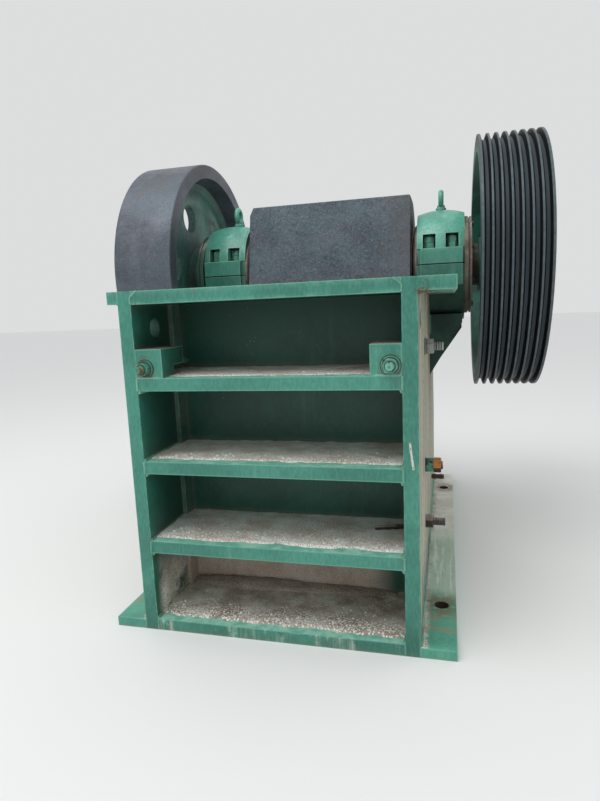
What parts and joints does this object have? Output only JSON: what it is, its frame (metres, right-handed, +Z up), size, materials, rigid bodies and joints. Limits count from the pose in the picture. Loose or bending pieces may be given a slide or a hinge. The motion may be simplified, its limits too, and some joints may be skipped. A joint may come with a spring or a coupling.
{
  "type": "jaw crusher",
  "caption": "Single-toggle jaw crusher: a welded plate frame with a ribbed open front, a swing jaw on an eccentric shaft, a plain flywheel and a grooved belt pulley.",
  "frame": {"origin": "middle of the machine at floor level, under the middle of its overall box", "axes": "+X along the shaft towards the belt pulley, -Y out of the open ribbed front, +Z up"},
  "size_m": [1.406, 1.476, 1.359],
  "materials": {
    "green_paint": "gloss enamel over plate and castings, scuffed and dusty",
    "rusty_steel": "bare steel with rust",
    "wear_steel": "rough cast manganese steel",
    "dark_casting": "rough dark casting",
    "wheel_casting": "machined rim, painted web",
    "pulley_casting": "dark casting with machined grooves",
    "machined_steel": "machined"
  },
  "bodies": {
    "frame": {"side_plate_left": "green_paint", "side_plate_right": "green_paint", "foot_left": "green_paint", "foot_right": "green_paint", "top_flange_left": "green_paint", "top_flange_right": "green_paint", "front_wall": "green_paint", "top_plate": "green_paint", "ribs": "green_paint", "bottom_plate": "green_paint", "corner_bars": "green_paint", "bracket_left": "green_paint", "bracket_right": "green_paint", "tie_bolts": "rusty_steel", "fixed_jaw_plate": "wear_steel", "jaw_plate_ledge": "green_paint", "cheek_plate_left": "wear_steel", "cheek_plate_right": "wear_steel", "rear_wall": "green_paint", "rear_ribs": "green_paint", "seat_guides": "green_paint", "toggle_seat": "dark_casting", "seat_shims": "rusty_steel", "toggle_plate": "dark_casting", "pull_rod_bracket": "green_paint", "pull_spring": "dark_casting", "housing_left": "green_paint", "housing_right": "green_paint", "cap_left": "green_paint", "cap_right": "green_paint", "housing_gussets": "green_paint", "housing_covers": "rusty_steel", "eye_bolts": "green_paint"},
    "shaft": {"eccentric_shaft": "machined_steel", "flywheel": "wheel_casting", "pulley": "pulley_casting", "shaft_collars": "machined_steel"},
    "jaw": {"swing_jaw": "dark_casting", "moving_jaw_plate": "wear_steel", "jaw_plate_wedge": "dark_casting", "jaw_end_covers": "rusty_steel", "pull_rod": "dark_casting", "pull_rod_pin": "machined_steel"}
  },
  "joints": [
    {"name": "shaft_turn", "type": "hinge", "parent": "frame", "child": "shaft", "pos_m": [0, 0.252, 0.934], "axis": [1, 0, 0], "continuous": true},
    {"name": "jaw_orbit", "type": "hinge", "parent": "shaft", "child": "jaw", "pos_m": [0, 0.252, 0.924], "axis": [1, 0, 0], "continuous": true}
  ],
  "couplings": [
    {"joint": "jaw_orbit", "follows": "shaft_turn", "ratio": -1}
  ]
}
